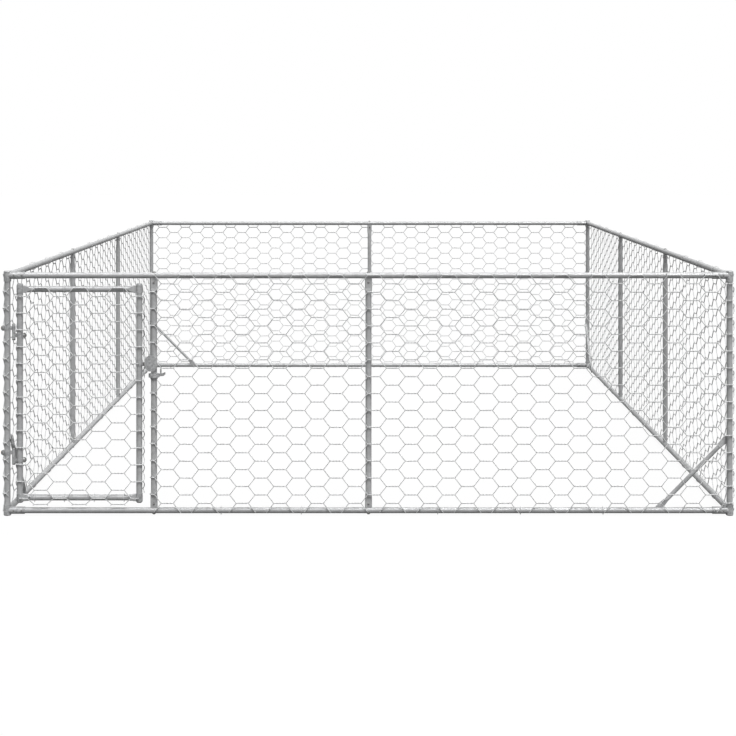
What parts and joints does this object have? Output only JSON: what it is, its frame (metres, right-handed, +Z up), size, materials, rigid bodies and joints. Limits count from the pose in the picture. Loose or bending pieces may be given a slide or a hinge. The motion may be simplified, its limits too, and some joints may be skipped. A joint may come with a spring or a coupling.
{
  "type": "outdoor dog kennel run",
  "caption": "Open-topped rectangular dog run of galvanised tube with hexagonal wire netting, corner braces and a narrow swing door with a turning latch.",
  "frame": {"origin": "on the ground, in the middle of the rectangle of corner posts", "axes": "+X to the right seen from the front, +Y from the front to the back, +Z up"},
  "size_m": [3.0476, 4.5425, 1.017],
  "materials": {
    "galvanised_tube": "galvanised, satin",
    "galvanised_fitting": "galvanised, slightly rough",
    "netting_wire": "galvanised wire",
    "zinc_fastener": "zinc plated"
  },
  "bodies": {
    "frame": {"corner_post_front_left": "galvanised_tube", "corner_post_front_right": "galvanised_tube", "corner_post_back_right": "galvanised_tube", "corner_post_back_left": "galvanised_tube", "top_corner_fittings": "galvanised_fitting", "bottom_corner_fittings": "galvanised_fitting", "top_rail_front": "galvanised_tube", "top_rail_right": "galvanised_tube", "top_rail_back": "galvanised_tube", "top_rail_left": "galvanised_tube", "bottom_rail_front": "galvanised_tube", "bottom_rail_right": "galvanised_tube", "bottom_rail_back": "galvanised_tube", "bottom_rail_left": "galvanised_tube", "door_post": "galvanised_tube", "front_mid_post": "galvanised_tube", "back_mid_post": "galvanised_tube", "right_mid_post_front": "galvanised_tube", "right_mid_post_back": "galvanised_tube", "left_mid_post_back": "galvanised_tube", "left_mid_post_front": "galvanised_tube", "mid_post_inserts": "galvanised_fitting", "mid_post_bolts": "zinc_fastener", "mid_post_screws": "zinc_fastener", "front_brace": "galvanised_tube", "right_brace": "galvanised_tube", "back_brace": "galvanised_tube", "left_brace": "galvanised_tube", "brace_screws": "zinc_fastener", "fitting_screws": "zinc_fastener", "front_mid_net": "netting_wire", "front_right_net": "netting_wire", "back_left_net": "netting_wire", "back_right_net": "netting_wire", "right_net_front": "netting_wire", "right_net_mid": "netting_wire", "right_net_back": "netting_wire", "left_net_back": "netting_wire", "left_net_mid": "netting_wire", "left_net_front": "netting_wire", "net_rings": "netting_wire", "hinge_post_clamps": "galvanised_fitting", "hinge_post_bolts": "zinc_fastener", "hinge_pins": "zinc_fastener", "latch_stop_ring": "galvanised_fitting"},
    "door": {"door_hinge_stile": "galvanised_tube", "door_latch_stile": "galvanised_tube", "door_top_rail": "galvanised_tube", "door_bottom_rail": "galvanised_tube", "door_stile_caps": "galvanised_fitting", "door_collars": "galvanised_fitting", "door_net": "netting_wire", "door_net_rings": "netting_wire", "hinge_door_clamps": "galvanised_fitting", "door_clamp_bolts": "zinc_fastener", "strike_clamp": "galvanised_fitting", "strike_plate": "galvanised_fitting"},
    "latch": {"latch_collar": "galvanised_fitting"}
  },
  "joints": [
    {"name": "door_swing", "type": "hinge", "parent": "frame", "child": "door", "pos_m": [-1.47385, -2.25, 0.5045], "axis": [0, 0, -1], "range_deg": [0, 100]},
    {"name": "latch_turn", "type": "hinge", "parent": "frame", "child": "latch", "pos_m": [-0.891, -2.25, 0.5815], "axis": [0, 0, -1], "range_deg": [0, 90]}
  ]
}
